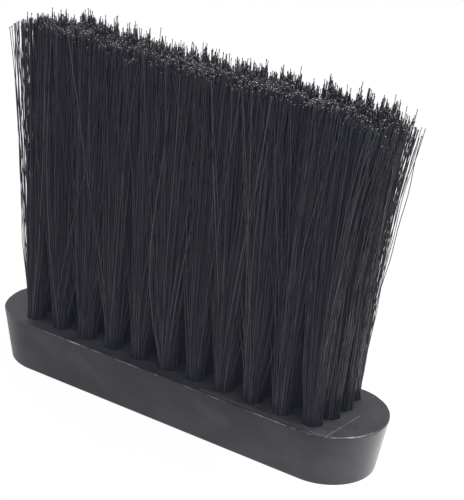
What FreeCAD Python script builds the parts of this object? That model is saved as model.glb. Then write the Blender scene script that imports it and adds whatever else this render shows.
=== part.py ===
import FreeCAD, Part
import math
import os
import Sketcher

# A brush head: an oval moulded block on its flat underside, with rows of bristle tufts standing
# up out of it. Each tuft is held in its hole by a flat-wire anchor, and a threaded insert in the
# underside takes a handle.
#
# Frame: origin at the middle of the underside, +X along the block, +Y across it, +Z up along the
# bristles. Millimetres.

COLUMNS = 11
ROWS = 4
END_STEPS = COLUMNS // 2
MIDDLE_COLUMN = END_STEPS + 1
MIDDLE_ROW = (ROWS + 1) / 2
MIDDLE_ROWS = (2, 3)

# Every driving dimension, as name, value, meaning.
DIMENSIONS = [
    ("block_length", 165.0, "length of the block's top outline"),
    ("block_width", 42.0, "width of the block's top outline"),
    ("block_height", 20.5, "underside to top face"),
    ("block_inset", 3.4, "how far the underside's outline lies inside the top one"),
    ("top_round", 0.5, "rounding of the top edge"),
    ("bottom_round", 0.8, "rounding of the bottom edge"),
    ("column_pitch", 12.4, "between tufts along a row"),
    ("row_pitch", 8.5, "between rows"),
    ("end_push", 1.8, "how much further out the middle rows' end tufts stand"),
    ("hole_radius", 3.55, "tuft hole"),
    ("hole_depth", 10.0, "tuft hole"),
    ("bundle_radius", 3.5, "tuft where it fills its hole"),
    ("fold_gap", 0.3, "between the folded end of a tuft and the bottom of its hole"),
    ("front_trim", 134.0, "height of the front row's tips above the underside"),
    ("trim_step", 2.0, "how much lower each row is trimmed than the one in front"),
    ("end_spread", 7.0, "how far the bristle field spreads beyond each end at its tips"),
    ("tip_gap", 0.3, "between neighbouring tufts at their tips"),
    ("anchor_length", 8.0, "flat-wire anchor, along the row"),
    ("anchor_thickness", 0.35, "flat-wire anchor, across the row"),
    ("anchor_height", 2.0, "flat-wire anchor, along the hole"),
    ("anchor_floor", 2.3, "bottom of the hole to the anchor, where the fold lies"),
    ("anchor_play", 0.05, "clearance all round an anchor"),
    ("insert_radius", 5.0, "outside of the threaded insert"),
    ("insert_length", 8.5, "threaded insert"),
    ("insert_seat", 5.03, "radius of the recess that holds the insert"),
    ("insert_groove", 0.6, "depth of the insert's retaining groove"),
    ("groove_width", 2.0, "the insert's retaining groove"),
    ("thread_radius", 3.325, "minor radius of the insert's M8 thread"),
    ("thread_lead_in", 0.6, "chamfer at the mouth of the thread"),
]

doc = FreeCAD.newDocument("brush_head")
sheet = doc.addObject("Spreadsheet::Sheet", "Sizes")
for line, (name, value, meaning) in enumerate(DIMENSIONS, start=1):
    sheet.set(f"A{line}", name)
    sheet.set(f"B{line}", str(value))
    sheet.set(f"C{line}", meaning)
    sheet.setAlias(f"B{line}", name)
doc.recompute()

parts = []


def new_body(label):
    """An empty body whose label names its file."""
    body = doc.addObject("PartDesign::Body", label)
    body.Label = label
    parts.append(body)
    return body


def origin_plane(body, role):
    """One of the body's own origin planes, such as XY_Plane."""
    return next(item for item in body.Origin.OriginFeatures if item.Role == role)


def new_sketch(body, name, role="XY_Plane", at=("0", "0", "0")):
    """A sketch on one of the body's planes, moved off it by three expressions."""
    sketch = body.newObject("Sketcher::SketchObject", name)
    sketch.AttachmentSupport = (origin_plane(body, role), [""])
    sketch.MapMode = "FlatFace"
    for axis, expression in zip("xyz", at):
        sketch.setExpression(f"AttachmentOffset.Base.{axis}", expression)
    return sketch


def size_constraint(sketch, constraint, name, expression):
    """Adds a dimension to the sketch and binds it to the sheet."""
    index = sketch.addConstraint(constraint)
    sketch.renameConstraint(index, name)
    sketch.setExpression(f"Constraints.{name}", expression)


def add_circle(sketch, radius):
    """A circle about the sketch's origin."""
    circle = sketch.addGeometry(Part.Circle(FreeCAD.Vector(), FreeCAD.Vector(0, 0, 1), 1.0))
    sketch.addConstraint(Sketcher.Constraint("Coincident", circle, 3, -1, 1))
    size_constraint(sketch, Sketcher.Constraint("Radius", circle, 1.0), "radius", radius)


def add_rectangle(sketch, length, width):
    """A rectangle centred on the sketch's origin."""
    corners = [FreeCAD.Vector(x, y) for x, y in ((-4, -3), (4, -3), (4, 3), (-4, 3))]
    sides = [
        sketch.addGeometry(Part.LineSegment(corners[k], corners[(k + 1) % 4])) for k in range(4)
    ]
    for k in range(4):
        sketch.addConstraint(Sketcher.Constraint("Coincident", sides[k], 2, sides[(k + 1) % 4], 1))
        direction = "Vertical" if k % 2 else "Horizontal"
        sketch.addConstraint(Sketcher.Constraint(direction, sides[k]))
    sketch.addConstraint(Sketcher.Constraint("Symmetric", sides[0], 1, sides[2], 1, -1, 1))
    along = Sketcher.Constraint("DistanceX", sides[0], 1, sides[0], 2, 8.0)
    across = Sketcher.Constraint("DistanceY", sides[1], 1, sides[1], 2, 6.0)
    size_constraint(sketch, along, "length", length)
    size_constraint(sketch, across, "width", width)


def add_stadium(sketch, length, width):
    """Two straight sides joined by half circles, centred on the sketch's origin."""
    flat, radius = 60.0, 20.0
    up = FreeCAD.Vector(0, 0, 1)
    quarter = math.pi / 2
    near = sketch.addGeometry(
        Part.LineSegment(FreeCAD.Vector(-flat, -radius), FreeCAD.Vector(flat, -radius))
    )
    right = sketch.addGeometry(
        Part.ArcOfCircle(Part.Circle(FreeCAD.Vector(flat, 0), up, radius), -quarter, quarter)
    )
    far = sketch.addGeometry(
        Part.LineSegment(FreeCAD.Vector(flat, radius), FreeCAD.Vector(-flat, radius))
    )
    left = sketch.addGeometry(
        Part.ArcOfCircle(
            Part.Circle(FreeCAD.Vector(-flat, 0), up, radius), quarter, 3 * quarter
        )
    )
    outline = [near, right, far, left]
    for k in range(4):
        sketch.addConstraint(
            Sketcher.Constraint("Tangent", outline[k], 2, outline[(k + 1) % 4], 1)
        )
    sketch.addConstraint(Sketcher.Constraint("Horizontal", near))
    sketch.addConstraint(Sketcher.Constraint("Symmetric", right, 3, left, 3, -1, 1))
    sketch.addConstraint(Sketcher.Constraint("PointOnObject", right, 3, -1))
    centres = Sketcher.Constraint("DistanceX", left, 3, right, 3, 2 * flat)
    size_constraint(sketch, centres, "centres", f"({length}) - ({width})")
    sides = Sketcher.Constraint("DistanceY", near, 1, far, 2, 2 * radius)
    size_constraint(sketch, sides, "sides", width)


def add_pad(body, name, sketch, length, reverse=False, taper=None):
    """Extrudes a sketch along its normal, or against it."""
    pad = body.newObject("PartDesign::Pad", name)
    pad.Profile = sketch
    pad.Reversed = reverse
    pad.setExpression("Length", length)
    if taper:
        pad.setExpression("TaperAngle", taper)
    return pad


def add_pocket(body, name, sketch, length, reverse=False):
    """Cuts against a sketch's normal, or along it when reversed."""
    pocket = body.newObject("PartDesign::Pocket", name)
    pocket.Profile = sketch
    pocket.Reversed = reverse
    pocket.setExpression("Length", length)
    return pocket


def round_edges(body, name, height, radius):
    """Rounds every edge of the body that lies flat at this height."""
    doc.recompute()
    base = body.Tip
    flat = [
        f"Edge{k}"
        for k, edge in enumerate(base.Shape.Edges, start=1)
        if abs(edge.BoundBox.ZMin - height) < 1e-4 and abs(edge.BoundBox.ZMax - height) < 1e-4
    ]
    fillet = body.newObject("PartDesign::Fillet", name)
    fillet.Base = (base, flat)
    fillet.setExpression("Radius", radius)


def add_grid(body, name, pockets, columns, column_step, rows, row_step):
    """Repeats cuts in a grid: they are drawn at its low corner, and step along X and Y."""
    sketch_axes = pockets[0].Profile[0]
    grid = body.newObject("PartDesign::MultiTransform", name)
    grid.Originals = pockets
    steps = []
    for axis, count, step in (("H_Axis", columns, column_step), ("V_Axis", rows, row_step)):
        pattern = body.newObject("PartDesign::LinearPattern", f"{name}_{axis[0].lower()}")
        pattern.Direction = (sketch_axes, [axis])
        pattern.Occurrences = count
        pattern.setExpression("Length", f"({step}) * {count - 1}")
        steps.append(pattern)
    grid.Transformations = steps
    body.Tip = grid


def make_block():
    """The moulded block, with drafted sides, a hole and an anchor slit for each tuft, and a
    recess for the handle insert in its underside."""
    body = new_body("block")
    outline = new_sketch(body, "underside_outline")
    add_stadium(
        outline,
        "Sizes.block_length - 2 * Sizes.block_inset",
        "Sizes.block_width - 2 * Sizes.block_inset",
    )
    draft = "atan(Sizes.block_inset / Sizes.block_height)"
    add_pad(body, "drafted_block", outline, "Sizes.block_height", taper=draft)
    round_edges(body, "top_edge", sheet.block_height, "Sizes.top_round")
    round_edges(body, "bottom_edge", 0.0, "Sizes.bottom_round")

    pitch, step = "Sizes.column_pitch", "Sizes.row_pitch"
    end_column = f"({END_STEPS} * {pitch} + Sizes.end_push)"
    # Name; columns and the step between them; the step between the two rows.
    groups = [
        ("outer_rows", COLUMNS, pitch, f"{ROWS - 1} * {step}"),
        ("middle_rows", COLUMNS - 2, pitch, step),
        ("middle_row_ends", 2, f"2 * {end_column}", step),
    ]
    for name, columns, column_step, row_step in groups:
        first_x = f"-({column_step}) * {columns - 1} / 2"
        at = (first_x, f"-({row_step}) / 2", "Sizes.block_height")
        mouth = new_sketch(body, f"{name}_mouth", at=at)
        add_circle(mouth, "Sizes.hole_radius")
        hole = add_pocket(body, f"{name}_hole", mouth, "Sizes.hole_depth")
        cut = new_sketch(body, f"{name}_anchor_cut", at=at)
        play = "2 * Sizes.anchor_play"
        add_rectangle(cut, f"Sizes.anchor_length + {play}", f"Sizes.anchor_thickness + {play}")
        slit = add_pocket(
            body, f"{name}_slit", cut, "Sizes.hole_depth - Sizes.anchor_floor + Sizes.anchor_play"
        )
        doc.recompute()
        add_grid(body, f"{name}_grid", [hole, slit], columns, column_step, 2, row_step)
        doc.recompute()

    seat = new_sketch(body, "insert_seat_outline")
    add_circle(seat, "Sizes.insert_seat")
    add_pocket(body, "insert_seat", seat, "Sizes.insert_length", reverse=True)
    return body


def tuft_place(row, column):
    """Expressions for where a tuft's hole opens: row 1 is the front one, column 1 is at -X."""
    steps = column - MIDDLE_COLUMN
    x = f"{steps} * Sizes.column_pitch"
    if row in MIDDLE_ROWS and abs(steps) == END_STEPS:
        x += f" + {steps // END_STEPS} * Sizes.end_push"
    return x, f"{row - MIDDLE_ROW} * Sizes.row_pitch"


def field_edge(steps):
    """Expression for the X of a line between columns at the tips, so many columns from the
    middle. The field spreads by a cubic law, so that the middle tufts stand straight and the end
    ones lean out."""
    share = f"(({steps}) / {COLUMNS / 2})"
    return f"({steps}) * Sizes.column_pitch + Sizes.end_spread * {share} ^ 3"


def make_tuft(row, column):
    """One tuft: a round bundle in its hole, pressed into a rectangle by its neighbours at the
    tips, with a slot where the anchor passes through its folded end."""
    body = new_body(f"tuft_{row}_{column:02d}")
    x, y = tuft_place(row, column)
    body.setExpression("Placement.Base.x", x)
    body.setExpression("Placement.Base.y", y)
    body.setExpression("Placement.Base.z", "Sizes.block_height")

    mouth = new_sketch(body, "mouth")
    add_circle(mouth, "Sizes.bundle_radius")
    low, high = (field_edge(column - MIDDLE_COLUMN + side) for side in (-0.5, 0.5))
    rise = f"Sizes.front_trim - {row - 1} * Sizes.trim_step - Sizes.block_height"
    tips = new_sketch(body, "tips", at=(f"(({low}) + ({high})) / 2 - ({x})", "0", rise))
    add_rectangle(tips, f"({high}) - ({low}) - Sizes.tip_gap", "Sizes.row_pitch - Sizes.tip_gap")
    bristles = body.newObject("PartDesign::AdditiveLoft", "bristles")
    bristles.Profile = mouth
    bristles.Sections = [tips]
    bristles.Ruled = True
    add_pad(body, "folded_end", mouth, "Sizes.hole_depth - Sizes.fold_gap", reverse=True)

    slot = body.newObject("PartDesign::SubtractiveBox", "anchor_slot")
    slot.AttachmentSupport = (origin_plane(body, "XY_Plane"), [""])
    slot.MapMode = "FlatFace"
    thickness = "(Sizes.anchor_thickness + 2 * Sizes.anchor_play)"
    slot.setExpression("Length", "Sizes.anchor_length + 2 * Sizes.anchor_play")
    slot.setExpression("Width", thickness)
    slot.setExpression("Height", "Sizes.anchor_height + 2 * Sizes.anchor_play")
    slot.setExpression("AttachmentOffset.Base.x", "-Sizes.anchor_length / 2 - Sizes.anchor_play")
    slot.setExpression("AttachmentOffset.Base.y", f"-{thickness} / 2")
    slot.setExpression(
        "AttachmentOffset.Base.z", "Sizes.anchor_floor - Sizes.hole_depth - Sizes.anchor_play"
    )
    return body


def make_anchors():
    """The flat-wire anchors, one across the bottom of each hole, in one group."""
    wires = []
    for row in range(1, ROWS + 1):
        for column in range(1, COLUMNS + 1):
            wire = doc.addObject("Part::Box", f"anchor_{row}_{column:02d}")
            x, y = tuft_place(row, column)
            wire.setExpression("Length", "Sizes.anchor_length")
            wire.setExpression("Width", "Sizes.anchor_thickness")
            wire.setExpression("Height", "Sizes.anchor_height")
            wire.setExpression("Placement.Base.x", f"{x} - Sizes.anchor_length / 2")
            wire.setExpression("Placement.Base.y", f"{y} - Sizes.anchor_thickness / 2")
            wire.setExpression(
                "Placement.Base.z",
                "Sizes.block_height - Sizes.hole_depth + Sizes.anchor_floor",
            )
            wires.append(wire)
    group = doc.addObject("Part::Compound", "tuft_anchors")
    group.Label = "tuft_anchors"
    group.Links = wires
    parts.append(group)
    return group


def make_insert():
    """The threaded insert: a turned bush with a retaining groove round its middle and a lead-in
    at the mouth of its thread, flush with the underside."""
    body = new_body("handle_insert")
    ring = new_sketch(body, "insert_outline")
    add_circle(ring, "Sizes.insert_radius")
    add_pad(body, "insert_blank", ring, "Sizes.insert_length")

    bore = new_sketch(body, "thread_outline")
    add_circle(bore, "Sizes.thread_radius")
    add_pocket(body, "thread_bore", bore, "Sizes.insert_length", reverse=True)

    doc.recompute()
    bush = body.Tip
    mouth = next(
        f"Edge{k}"
        for k, edge in enumerate(bush.Shape.Edges, start=1)
        if len(edge.Vertexes) == 1
        and abs(edge.Vertexes[0].Z) < 1e-6
        and abs(edge.Curve.Radius - sheet.thread_radius) < 1e-6
    )
    lead_in = body.newObject("PartDesign::Chamfer", "thread_lead_in")
    lead_in.Base = (bush, [mouth])
    lead_in.setExpression("Size", "Sizes.thread_lead_in")

    middle = "(Sizes.insert_length - Sizes.groove_width) / 2"
    floor = new_sketch(body, "groove_floor", at=("0", "0", middle))
    add_circle(floor, "Sizes.insert_radius - Sizes.insert_groove")
    rim = floor.addGeometry(Part.Circle(FreeCAD.Vector(), FreeCAD.Vector(0, 0, 1), 9.0))
    floor.addConstraint(Sketcher.Constraint("Coincident", rim, 3, -1, 1))
    size_constraint(
        floor, Sketcher.Constraint("Radius", rim, 9.0), "rim", "Sizes.insert_radius + 1"
    )
    add_pocket(body, "retaining_groove", floor, "Sizes.groove_width", reverse=True)
    return body


def cuts_too_little(feature):
    """True if a cut left its base's volume as it was."""
    if feature.TypeId not in ("PartDesign::Pocket", "PartDesign::SubtractiveBox"):
        return False
    return feature.Shape.Volume > feature.BaseFeature.Shape.Volume - 0.1


block = make_block()
insert = make_insert()
anchors = make_anchors()
tufts = [
    make_tuft(row, column) for row in range(1, ROWS + 1) for column in range(1, COLUMNS + 1)
]
doc.recompute()

broken = [item.Label for item in doc.Objects if {"Invalid", "Error"} & set(item.State)]
if broken:
    raise RuntimeError(f"failed objects: {broken}")
idle = [item.Label for item in doc.Objects if cuts_too_little(item)]
if idle:
    raise RuntimeError(f"cuts that removed nothing: {idle}")
for part in parts:
    if part.Shape.isNull() or not part.Shape.isValid():
        raise RuntimeError(f"bad shape: {part.Label}")
    expected = ROWS * COLUMNS if part is anchors else 1
    if len(part.Shape.Solids) != expected:
        raise RuntimeError(f"{part.Label} has {len(part.Shape.Solids)} solids, not {expected}")

os.makedirs("parts", exist_ok=True)
for part in parts:
    part.Shape.exportStep(f"parts/{part.Label}.step")
print(f"{len(parts)} parts written")
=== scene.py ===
import math

import bmesh
import bpy
import numpy as np
from mathutils import Matrix, Vector, geometry
from mathutils import noise as smooth_noise


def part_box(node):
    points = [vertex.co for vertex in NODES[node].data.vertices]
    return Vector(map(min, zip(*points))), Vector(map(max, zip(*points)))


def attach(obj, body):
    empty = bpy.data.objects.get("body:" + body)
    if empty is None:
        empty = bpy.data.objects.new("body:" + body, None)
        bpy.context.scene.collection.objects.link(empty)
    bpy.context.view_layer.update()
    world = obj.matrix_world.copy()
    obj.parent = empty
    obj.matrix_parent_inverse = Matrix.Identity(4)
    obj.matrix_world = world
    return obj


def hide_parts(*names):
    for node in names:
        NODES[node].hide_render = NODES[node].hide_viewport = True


# A brush head: a moulded oval block with 44 tufts of filaments folded round flat-wire anchors,
# and a threaded insert for a handle in its underside.
# Metres, in the CAD model's frame: origin under the middle of the block, +X along it, +Z up.

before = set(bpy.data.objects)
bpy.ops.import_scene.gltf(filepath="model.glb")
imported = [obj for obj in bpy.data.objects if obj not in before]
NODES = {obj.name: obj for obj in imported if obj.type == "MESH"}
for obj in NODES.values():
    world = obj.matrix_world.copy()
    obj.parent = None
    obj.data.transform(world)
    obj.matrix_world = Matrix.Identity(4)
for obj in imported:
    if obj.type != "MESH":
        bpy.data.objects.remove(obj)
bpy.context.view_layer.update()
MM = 0.001

COLUMNS = 11
ROWS = 4
END_STEPS = COLUMNS // 2  # from the middle column to the last one
MIDDLE_COLUMN = END_STEPS + 1

BLOCK_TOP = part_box("block")[1].z
ANCHOR_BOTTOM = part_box("tuft_anchors")[0].z
INSERT_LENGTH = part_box("handle_insert")[1].z
TOP_RADIUS = 21.0 * MM  # of the block's two round ends, at the top
STRAIGHT = 61.5 * MM  # from the middle of the block to the centre of each round end


def new_object(name, data):
    """A scene object with this mesh, light or camera."""
    made = bpy.data.objects.new(name, data)
    bpy.context.scene.collection.objects.link(made)
    return made


# ---- shader nodes


class Graph:
    """A node tree being built. Its methods, but for feed, give an output socket."""

    def __init__(self, tree):
        self.nodes, self.links = tree.nodes, tree.links

    def feed(self, node, inputs):
        """Sets inputs of a node to numbers or colours, and links the ones given as sockets."""
        for name, value in inputs.items():
            if isinstance(value, bpy.types.NodeSocket):
                self.links.new(value, node.inputs[name])
            else:
                node.inputs[name].default_value = value

    def add(self, kind, output, inputs=(), **settings):
        """Adds a node with these settings and inputs."""
        node = self.nodes.new("ShaderNode" + kind)
        for name, value in settings.items():
            setattr(node, name, value)
        self.feed(node, dict(inputs))
        return node.outputs[output]

    def math(self, operation, *values):
        """A maths node over sockets or numbers."""
        return self.add("Math", "Value", enumerate(values), operation=operation)

    def vector(self, operation, output, *values):
        """A vector maths node over sockets or vectors, with the output named."""
        return self.add("VectorMath", output, enumerate(values), operation=operation)

    def remap(self, value, source, target=(0.0, 1.0), kind="LINEAR"):
        """A value carried from one range to another and held within it."""
        limits = zip(("From Min", "From Max", "To Min", "To Max"), (*source, *target))
        return self.add("MapRange", "Result", [("Value", value), *limits], interpolation_type=kind)

    def noise(self, scale, detail, stretch=(1.0, 1.0, 1.0)):
        """Object-space noise, finer along an axis where its stretch is above 1."""
        place = {"Vector": self.add("TexCoord", "Object"), "Scale": stretch}
        place = self.add("Mapping", "Vector", place)
        return self.add("TexNoise", "Fac", {"Vector": place, "Scale": scale, "Detail": detail})

    def graded(self, value, stops):
        """A value turned into a colour by a ramp with these (position, colour) stops."""
        graded = self.add("ValToRGB", "Color", {"Fac": value})
        elements = graded.node.color_ramp.elements
        while len(elements) < len(stops):
            elements.new(0.5)
        for element, (position, colour) in zip(elements, stops):
            element.position = position
            element.color = (*colour, 1.0)
        return graded

    def tinted(self, colour, mask, tint, strength=1.0):
        """The colour, turned towards a tint where the mask is 1."""
        share = self.math("MULTIPLY", mask, strength)
        inputs = {"Factor": share, "A": colour, "B": (*tint, 1.0)}
        return self.add("Mix", "Result", inputs, data_type="RGBA")


def new_material(name):
    """A node material with a Principled shader. Gives the material, its graph and shader."""
    material = bpy.data.materials.new(name)
    material.use_nodes = True
    graph = Graph(material.node_tree)
    return material, graph, graph.nodes["Principled BSDF"]


# ---- materials

# Filament colours: the dark stops are the dye's random tone, and the top stop is a painted highlight
# for filaments that glint.
FILAMENT_TONES = [
    (0.0, (0.012, 0.0125, 0.018)),
    (0.5, (0.019, 0.020, 0.027)),
    (1.0, (0.075, 0.077, 0.087)),
]
DRAWN_STRETCH = (1.0, 1.0, 0.06)  # the filaments' gloss changes slowly along them
FILAMENT_GLOSS = (0.34, 0.50)  # range of roughness

# Colours of the cut ends: the pale stops are a painted highlight, standing in for glints on the
# ends.
CUT_TONES = [
    (0.0, (0.012, 0.013, 0.017)),
    (0.64, (0.03, 0.031, 0.036)),
    (0.72, (0.70, 0.70, 0.72)),
    (1.0, (0.90, 0.90, 0.92)),
]
CUT_ROUGHNESS = 0.45

PLASTIC_TONES = [
    (0.36, (0.008, 0.0085, 0.0115)),
    (0.50, (0.014, 0.0145, 0.0190)),
    (0.66, (0.028, 0.029, 0.036)),
]
PLASTIC_GLOSS = (0.24, 0.42)  # range of roughness where there is no dust
GRAIN_STRENGTH = 0.15
GRAIN_DEPTH = 0.4 * MM
# Tint on the top face's ends: partly dust, partly painted light that makes the top lighter.
DUST_AND_PAINTED_LIGHT_TINT = (0.10, 0.102, 0.112)
DUST_AND_PAINTED_LIGHT_FACING = (0.90, 0.99)  # dust and painted light lie on faces whose normal points up by at least this much
DUST_AND_PAINTED_LIGHT_ENDS = (56 * MM, 70 * MM)  # along the block, from thin to full dust and painted light
THIN_DUST_AND_PAINTED_LIGHT = 0.28
DUST_ROUGHNESS = 0.9  # how much more rough full dust is
# Pale tint of the top edge: stress-whitened wear, and a painted highlight along the edge.
WEAR_AND_PAINTED_GLINT_TINT = (0.66, 0.66, 0.68)
MARK_RAGGED = 0.7 * MM  # how far the edges of the marks are pushed about
MARK_PATCHY = 1.8  # brings the patchy noise in them back up to about 1

# Marks on the block in millimetres: start, end, width, tint and strength.
MARKS = [
    ((73, -6, 20.5), (76, 8, 20.5), 6.5, (0.075, 0.077, 0.084), 0.5),
    ((71, -18.6, 20.5), (72, 2.4, 20.5), 0.32, (0.20, 0.20, 0.21), 0.8),
    ((66.5, -19.4, 20.5), (70, -17.6, 20.5), 0.25, (0.25, 0.25, 0.26), 0.6),
    ((64, -18.2, 20.5), (67.5, -18.9, 20.5), 0.25, (0.20, 0.20, 0.21), 0.6),
    ((74, 3, 20.5), (78.5, 9, 20.5), 0.25, (0.07, 0.07, 0.075), 0.6),
    ((75.5, -2, 20.5), (76, 12, 20.5), 0.18, (0.07, 0.07, 0.075), 0.6),
    ((60, -17.6, 20.5), (68.5, -17, 20.5), 1.3, (0.055, 0.055, 0.060), 0.6),
    ((66, -8, 20.5), (74, -6, 20.5), 3, (0.045, 0.045, 0.050), 0.5),
    ((-72, -9, 20.5), (-78, 4, 20.5), 0.20, (0.06, 0.06, 0.065), 0.6),
    ((20, -18.9, 20.5), (60, -18.7, 20.5), 1.4, (0.070, 0.058, 0.052), 0.7),
    ((-35.1, -19.9, 15.6), (-24.7, -18.7, 7.6), 1.7, (0.048, 0.049, 0.056), 0.35),
    ((-39, -20.2, 14), (-34, -19.6, 11), 3.4, (0.040, 0.041, 0.047), 0.35),
    ((-3, -20.2, 15), (9, -19, 8), 3.5, (0.018, 0.0185, 0.022), 0.5),
    ((20, -20, 14), (31, -19.4, 12), 3, (0.046, 0.047, 0.053), 0.4),
]


def bristle_material():
    """Dyed monofilament, each one lighter or darker than the next, and a few painted pale as a
    painted highlight for filaments that glint. Its gloss is uneven along it.
    """
    material, graph, shader = new_material("bristle_filament")
    tone = graph.add("Attribute", "Fac", attribute_name="tone")
    rough = graph.remap(graph.noise(300.0, 2.0, DRAWN_STRETCH), (0.3, 0.7), FILAMENT_GLOSS)
    graph.feed(shader, {"Base Color": graph.graded(tone, FILAMENT_TONES), "Roughness": rough})
    return material


def cut_end_material():
    """The trimmed ends of the filaments: most stay dark, and some are painted near white, a painted
    highlight for ends that catch the light.
    """
    material, graph, shader = new_material("bristle_cut_end")
    cut = graph.add("Attribute", "Fac", attribute_name="cut")
    graph.feed(shader, {"Base Color": graph.graded(cut, CUT_TONES), "Roughness": CUT_ROUGHNESS})
    return material


def stroke(graph, place, start, end, width):
    """How much a point lies on a mark drawn from start to end, from 0 to 1."""
    start, end = Vector(start) * MM, Vector(end) * MM
    reach = end - start
    offset = graph.vector("SUBTRACT", "Vector", place, start)
    share = graph.vector("DOT_PRODUCT", "Value", offset, reach / reach.length_squared)
    share = graph.math("MAXIMUM", graph.math("MINIMUM", share, 1.0), 0.0)
    along = graph.add("VectorMath", "Vector", {0: reach, "Scale": share}, operation="SCALE")
    apart = graph.vector("DISTANCE", "Value", offset, along)
    full, none = 0.5 * width * MM, width * MM
    return graph.remap(apart, (full, none), (1.0, 0.0), "SMOOTHSTEP")


def with_marks(graph, place, colour):
    """The colour with every mark laid over it, ragged at its edges and patchy."""
    ragged = graph.noise(900.0, 4.0)
    shift = graph.vector("SUBTRACT", "Vector", ragged.node.outputs["Color"], (0.5, 0.5, 0.5))
    shift = graph.vector("MULTIPLY", "Vector", shift, (MARK_RAGGED,) * 3)
    pushed = graph.vector("ADD", "Vector", place, shift)
    for start, end, width, tint, strength in MARKS:
        mask = graph.math("MULTIPLY", stroke(graph, pushed, start, end, width), ragged)
        mask = graph.math("MULTIPLY", mask, MARK_PATCHY)
        colour = graph.tinted(colour, mask, tint, strength)
    return colour


def top_dust_and_painted_light(graph, place):
    """How much dust and painted light a point has. The ends of the top face are matt with dust and
    painted lighter, as if light fell on the top; the sides are not.
    """
    normal = graph.add("NewGeometry", "True Normal")
    upward = graph.remap(graph.add("SeparateXYZ", "Z", {"Vector": normal}), DUST_AND_PAINTED_LIGHT_FACING)
    outward = graph.math("ABSOLUTE", graph.add("SeparateXYZ", "X", {"Vector": place}))
    at_ends = graph.remap(outward, DUST_AND_PAINTED_LIGHT_ENDS, (THIN_DUST_AND_PAINTED_LIGHT, 1.0), "SMOOTHSTEP")
    dust_and_painted_light = graph.math("MULTIPLY", upward, graph.noise(240.0, 6.0))
    return graph.math("MULTIPLY", dust_and_painted_light, at_ends)


def block_material():
    """Satin moulded plastic: mottled, scratched, dusty and painted lighter on the ends of its top
    face, and pale at its edge, partly wear and partly a painted highlight.
    """
    material, graph, shader = new_material("block_plastic")
    place = graph.add("TexCoord", "Object")
    dust_and_painted_light = top_dust_and_painted_light(graph, place)
    colour = graph.graded(graph.noise(55.0, 6.0, (0.6, 0.6, 1.2)), PLASTIC_TONES)
    # Dust, and painted light: the ends of the top face are made lighter.
    colour = graph.tinted(colour, dust_and_painted_light, DUST_AND_PAINTED_LIGHT_TINT)
    colour = with_marks(graph, place, colour)
    # The pale edge: wear, and a painted highlight where the edge would catch the light.
    colour = graph.tinted(colour, graph.add("Attribute", "Fac", attribute_name="wear_and_painted_glint"), WEAR_AND_PAINTED_GLINT_TINT)
    rough = graph.remap(graph.noise(60.0, 6.0, (0.5, 0.5, 2.0)), (0.0, 1.0), PLASTIC_GLOSS)
    rough = graph.math("ADD", graph.math("MULTIPLY", dust_and_painted_light, DUST_ROUGHNESS), rough)
    grain = {"Strength": GRAIN_STRENGTH, "Distance": GRAIN_DEPTH, "Height": graph.noise(1500.0, 3.0)}
    normal = graph.add("Bump", "Normal", grain)
    graph.feed(shader, {"Base Color": colour, "Roughness": rough, "Normal": normal})
    return material


def metal_material(name, grain, tones, roughness):
    """Bare metal with its colour uneven. Grain is the noise's scale, detail and stretch."""
    material, graph, shader = new_material(name)
    colour = graph.graded(graph.noise(*grain), tones)
    graph.feed(shader, {"Base Color": colour, "Metallic": 1.0, "Roughness": roughness})
    return material


def steel_material():
    """Drawn steel wire, brushed along its length."""
    tones = [(0.3, (0.35, 0.35, 0.36)), (0.7, (0.55, 0.55, 0.56))]
    return metal_material("anchor_steel", (900.0, 3.0, (0.1, 1.0, 1.0)), tones, 0.35)


def brass_material():
    """Turned brass, slightly tarnished."""
    tones = [(0.3, (0.42, 0.27, 0.10)), (0.7, (0.62, 0.44, 0.19))]
    return metal_material("insert_brass", (400.0, 5.0), tones, 0.3)


# ---- bristles

FILAMENTS = 235  # in each tuft, every one folded in half
FILAMENT_RADIUS = 0.145 * MM
THICKNESS = (0.85, 1.15)  # of a filament, as a share of the radius
SIDES = 3
TIP_FLARE = 1.25  # how much the blade spreads a cut end
WIDE_FLARE = 1.8  # the same for the ends painted pale as a painted highlight
PAINTED_GLINT_FROM = 0.68  # tone above which an end is painted pale, a painted highlight
FLARE_LENGTH = 1.0 * MM
PAINTED_GLINT_ODDS = 0.03  # share of filaments painted pale, a painted highlight for glints
STRAY_ODDS = ((4 * MM, 0.10), (8 * MM, 0.35))  # added to that share, as painted highlight, for those that stray this far
PAINTED_GLINT_TONES = (0.6, 1.0)

HOLE_REACH = 3.3 * MM  # how far from the middle of its hole a filament's centre stands
ANCHOR_GAP = 0.32 * MM  # from the middle of the anchor's plane to the nearest centre
FOLD_DEPTHS = (0.15 * MM, 1.75 * MM)  # below the anchor: of the nearest, and more at the rim
RISES = 8  # rings from the mouth of the hole to the tip
END_RISES = 24  # the same at the two ends, where single filaments show
FOLDS = 5  # rings round the fold
LEVEL = 0.01 * MM  # vertices this close to a height are on it

TRIM_SLOPE = 0.235  # how fast the trimmed tips fall from the front to the back
TRIM_MIDDLE = 130.7 * MM  # tips over the middle of the block
TRIM_PROUD = 1.2 * MM  # how much higher the left part stands
TRIM_DROOP = (0.4 * MM, 0.3 * MM)  # at the left and right ends
TIP_SCATTER = 1.0 * MM  # how unevenly single filaments are trimmed
ROW_ROUGHNESS = (0.5, 0.8, 1.1, 1.35)  # the back rows are trimmed less evenly
TALL_ODDS = 0.09
TALL = (0.5 * MM, 3.4 * MM)  # how far the tall filaments stand out
SHORT, SHORT_LIMIT = 2.0 * MM, 10 * MM  # the last column is cut shorter, unevenly

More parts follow.
